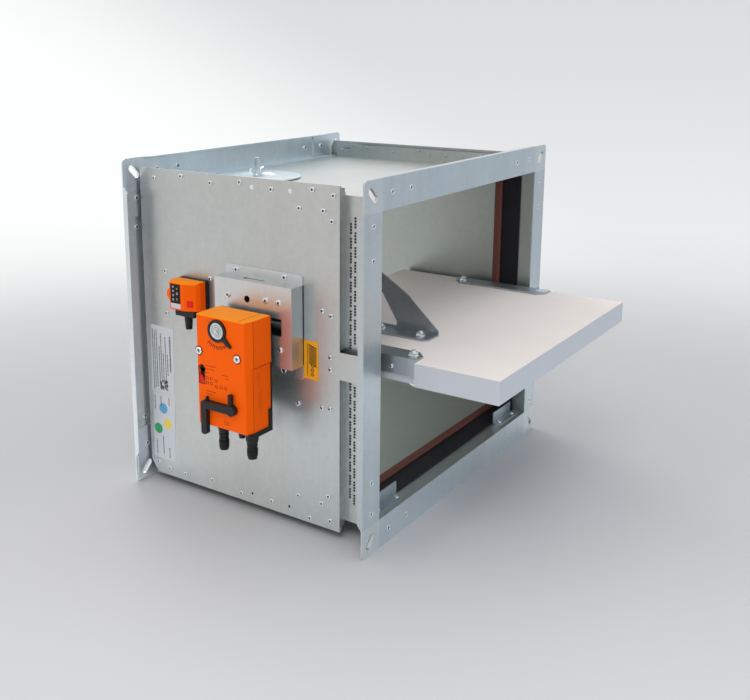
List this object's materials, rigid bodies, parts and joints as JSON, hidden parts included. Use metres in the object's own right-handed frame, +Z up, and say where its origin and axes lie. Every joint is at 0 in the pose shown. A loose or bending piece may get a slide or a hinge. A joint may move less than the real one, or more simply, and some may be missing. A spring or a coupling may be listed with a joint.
{
  "type": "motorised fire damper",
  "caption": "Rectangular duct fire damper of galvanised sheet with an open pivoting mineral board blade, orange spring-return actuator on a side box, thermal sensor and slotted flanges.",
  "frame": {"origin": "centre of the front duct opening, on the face of the front flange", "axes": "+X across the duct, away from the actuator side; +Y along the duct, from the front flange to the rear flange; +Z up"},
  "size_m": [0.5923, 0.555, 0.48],
  "materials": {
    "galvanised": "galvanised sheet, soft satin",
    "zinc_plated": "bright zinc plate",
    "machined_steel": "turned steel",
    "bronze_bush": "sintered bronze",
    "mineral_board": "smooth calcium silicate board",
    "red_brown_rubber": "matt silicone",
    "black_strip": "matt graphite strip",
    "orange_plastic": "fine satin moulding",
    "black_plastic": "fine satin moulding",
    "red_plastic": "glossy moulding",
    "white_film": "printed film",
    "orange_film": "printed film",
    "black_rubber": "matt foam rubber",
    "gear_plastic": "natural moulding"
  },
  "bodies": {
    "casing": {"actuator_base": "black_plastic", "actuator_housing": "orange_plastic", "actuator_screws": "zinc_plated", "actuator_side_cover": "orange_plastic", "blade_stops": "galvanised", "bottom_wall": "galvanised", "box_rod": "machined_steel", "box_screws": "zinc_plated", "bulb_seal": "red_brown_rubber", "cable_glands": "black_plastic", "drive_bush": "bronze_bush", "flange_rivets": "zinc_plated", "front_bottom_rail": "galvanised", "front_corner_plates": "galvanised", "front_left_rail": "galvanised", "front_right_rail": "galvanised", "front_top_rail": "galvanised", "intumescent_strips": "black_strip", "left_side_panel": "galvanised", "left_wall": "galvanised", "lid_gasket": "black_rubber", "lid_stud": "zinc_plated", "limit_label": "orange_film", "mechanism_box": "galvanised", "motor": "machined_steel", "panel_screws": "zinc_plated", "pivot_bushes": "bronze_bush", "rating_label": "white_film", "rear_bottom_rail": "galvanised", "rear_corner_plates": "galvanised", "rear_left_rail": "galvanised", "rear_right_rail": "galvanised", "rear_top_rail": "galvanised", "return_spring": "machined_steel", "right_side_panel": "galvanised", "right_wall": "galvanised", "sensor_base": "black_plastic", "sensor_connector": "black_plastic", "sensor_cover": "orange_plastic", "sensor_probe": "machined_steel", "stop_screws": "zinc_plated", "top_wall": "galvanised"},
    "drive": {"drive_shaft": "machined_steel", "shaft_clamp": "black_plastic", "crank_arm": "machined_steel", "output_gear": "gear_plastic"},
    "pinion": {"motor_pinion": "gear_plastic"},
    "link": {"link_rod": "machined_steel"},
    "blade": {"blade_board": "mineral_board", "left_hinge_bracket": "galvanised", "right_hinge_bracket": "galvanised", "lever_bracket": "galvanised", "lever_pin": "zinc_plated", "blade_bolts": "zinc_plated", "pivot_pins": "zinc_plated"},
    "hand_crank": {"hand_crank": "black_plastic"},
    "lock_slider": {"lock_slider": "red_plastic"},
    "inspection_lid": {"inspection_lid": "galvanised"},
    "wing_nut": {"wing_nut": "zinc_plated"},
    "test_button": {"test_button": "red_plastic"}
  },
  "joints": [
    {"name": "blade_hinge", "type": "hinge", "parent": "casing", "child": "blade", "pos_m": [0, 0.037, 0], "axis": [-1, 0, 0], "range_deg": [0, 90]},
    {"name": "drive_turn", "type": "hinge", "parent": "casing", "child": "drive", "pos_m": [-0.2, 0.182, 0.044], "axis": [-1, 0, 0], "range_deg": [0, 90]},
    {"name": "link_pivot", "type": "hinge", "parent": "drive", "child": "link", "pos_m": [-0.106, 0.23006, 0.12826], "axis": [-1, 0, 0], "range_deg": [-90, 0]},
    {"name": "pinion_spin", "type": "hinge", "parent": "casing", "child": "pinion", "pos_m": [-0.298, 0.182, 0.008], "axis": [-1, 0, 0], "range_deg": [-450, 0]},
    {"name": "crank_pull", "type": "slide", "parent": "casing", "child": "hand_crank", "axis": [-1, 0, 0], "range_m": [0, 0.03]},
    {"name": "lock_slide", "type": "slide", "parent": "casing", "child": "lock_slider", "axis": [0, 0, 1], "range_m": [0, 0.011]},
    {"name": "lid_lift", "type": "slide", "parent": "casing", "child": "inspection_lid", "axis": [0, 0, 1], "range_m": [0, 0.015]},
    {"name": "wing_nut_turn", "type": "hinge", "parent": "inspection_lid", "child": "wing_nut", "pos_m": [-0.08, 0.31, 0.208], "axis": [0, 0, 1], "continuous": true},
    {"name": "test_button_press", "type": "slide", "parent": "casing", "child": "test_button", "axis": [0.9162, 0.4008, 0], "range_m": [0, 0.0012], "stiffness_N_per_m": 300}
  ],
  "couplings": [
    {"joint": "drive_turn", "follows": "blade_hinge", "ratio": 1},
    {"joint": "link_pivot", "follows": "blade_hinge", "ratio": -1},
    {"joint": "pinion_spin", "follows": "blade_hinge", "ratio": -5}
  ]
}
